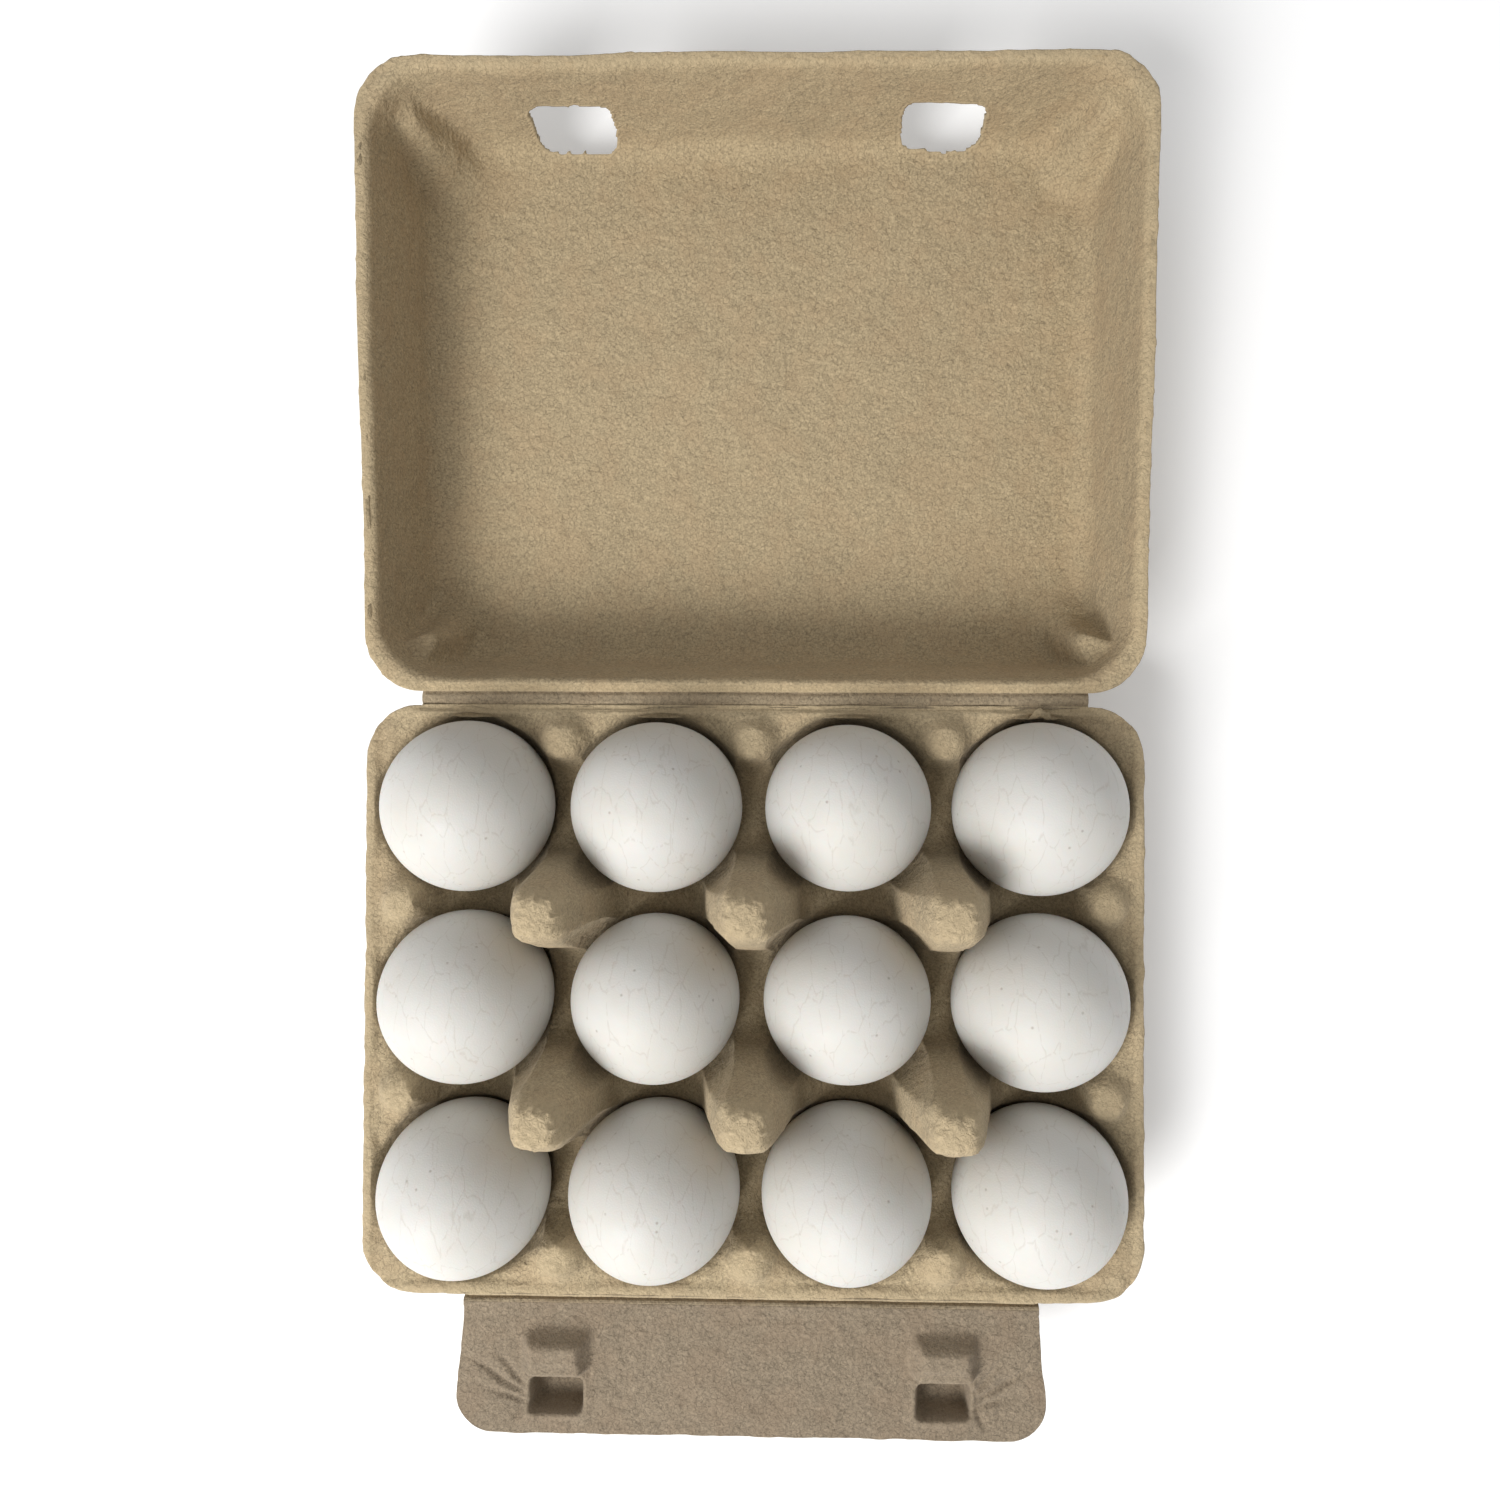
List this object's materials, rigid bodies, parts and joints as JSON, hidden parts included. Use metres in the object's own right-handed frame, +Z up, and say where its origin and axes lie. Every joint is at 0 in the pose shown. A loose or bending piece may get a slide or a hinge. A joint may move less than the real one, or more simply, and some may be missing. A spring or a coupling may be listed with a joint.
{
  "type": "egg carton",
  "caption": "Open moulded-pulp egg carton: a tray of cells with upright posts, a folding lid on a double crease, a front flap with button latches, and eggs in the cells.",
  "frame": {"origin": "on the table, under the middle of the tray's cells", "axes": "+X along the hinge, +Y from the tray to the open lid, +Z up"},
  "size_m": [0.202, 0.3479, 0.066],
  "materials": {
    "tray_pulp": "rough moulded pulp, unpainted, with short fibres and flecks",
    "lid_pulp": "rough moulded pulp, unpainted, with short fibres and flecks",
    "flap_pulp": "rough moulded pulp, unpainted, with short fibres and flecks",
    "crease_pulp": "rough moulded pulp, unpainted, with short fibres and flecks",
    "eggshell": "matt off-white eggshell with fine pores"
  },
  "bodies": {
    "tray": {"base_tray": "tray_pulp"},
    "rear_strip": {"hinge_strip": "crease_pulp"},
    "lid": {"lid": "lid_pulp"},
    "front_strip": {"flap_strip": "crease_pulp"},
    "flap": {"front_flap": "flap_pulp"},
    "egg_1_body": {"egg_1": "eggshell"},
    "egg_2_body": {"egg_2": "eggshell"},
    "egg_3_body": {"egg_3": "eggshell"},
    "egg_4_body": {"egg_4": "eggshell"},
    "egg_5_body": {"egg_5": "eggshell"},
    "egg_6_body": {"egg_6": "eggshell"},
    "egg_7_body": {"egg_7": "eggshell"},
    "egg_8_body": {"egg_8": "eggshell"},
    "egg_9_body": {"egg_9": "eggshell"},
    "egg_10_body": {"egg_10": "eggshell"},
    "egg_11_body": {"egg_11": "eggshell"},
    "egg_12_body": {"egg_12": "eggshell"}
  },
  "joints": [
    {"name": "lid_hinge", "type": "hinge", "parent": "tray", "child": "lid", "pos_m": [0, 0.07695, 0.03413], "axis": [-1, 0, 0], "range_deg": [-175.06, 0]},
    {"name": "rear_strip_turn", "type": "hinge", "parent": "tray", "child": "rear_strip", "pos_m": [0, 0.0754, 0.03265], "axis": [-1, 0, 0], "range_deg": [-87.53, 0]},
    {"name": "flap_hinge", "type": "hinge", "parent": "tray", "child": "flap", "pos_m": [0, -0.07721, 0.03464], "axis": [1, 0, 0], "range_deg": [-109, 0]},
    {"name": "front_strip_turn", "type": "hinge", "parent": "tray", "child": "front_strip", "pos_m": [0, -0.0766, 0.034], "axis": [1, 0, 0], "range_deg": [-93, 0]},
    {"name": "egg_1_lift", "type": "slide", "parent": "tray", "child": "egg_1_body", "axis": [0, 0, 1], "range_m": [0, 0.07]},
    {"name": "egg_2_lift", "type": "slide", "parent": "tray", "child": "egg_2_body", "axis": [0, 0, 1], "range_m": [0, 0.07]},
    {"name": "egg_3_lift", "type": "slide", "parent": "tray", "child": "egg_3_body", "axis": [0, 0, 1], "range_m": [0, 0.07]},
    {"name": "egg_4_lift", "type": "slide", "parent": "tray", "child": "egg_4_body", "axis": [0, 0, 1], "range_m": [0, 0.07]},
    {"name": "egg_5_lift", "type": "slide", "parent": "tray", "child": "egg_5_body", "axis": [0, 0, 1], "range_m": [0, 0.07]},
    {"name": "egg_6_lift", "type": "slide", "parent": "tray", "child": "egg_6_body", "axis": [0, 0, 1], "range_m": [0, 0.07]},
    {"name": "egg_7_lift", "type": "slide", "parent": "tray", "child": "egg_7_body", "axis": [0, 0, 1], "range_m": [0, 0.07]},
    {"name": "egg_8_lift", "type": "slide", "parent": "tray", "child": "egg_8_body", "axis": [0, 0, 1], "range_m": [0, 0.07]},
    {"name": "egg_9_lift", "type": "slide", "parent": "tray", "child": "egg_9_body", "axis": [0, 0, 1], "range_m": [0, 0.07]},
    {"name": "egg_10_lift", "type": "slide", "parent": "tray", "child": "egg_10_body", "axis": [0, 0, 1], "range_m": [0, 0.07]},
    {"name": "egg_11_lift", "type": "slide", "parent": "tray", "child": "egg_11_body", "axis": [0, 0, 1], "range_m": [0, 0.07]},
    {"name": "egg_12_lift", "type": "slide", "parent": "tray", "child": "egg_12_body", "axis": [0, 0, 1], "range_m": [0, 0.07]}
  ],
  "couplings": [
    {"joint": "rear_strip_turn", "follows": "lid_hinge", "ratio": 0.5},
    {"joint": "front_strip_turn", "follows": "flap_hinge", "ratio": 0.85324}
  ]
}
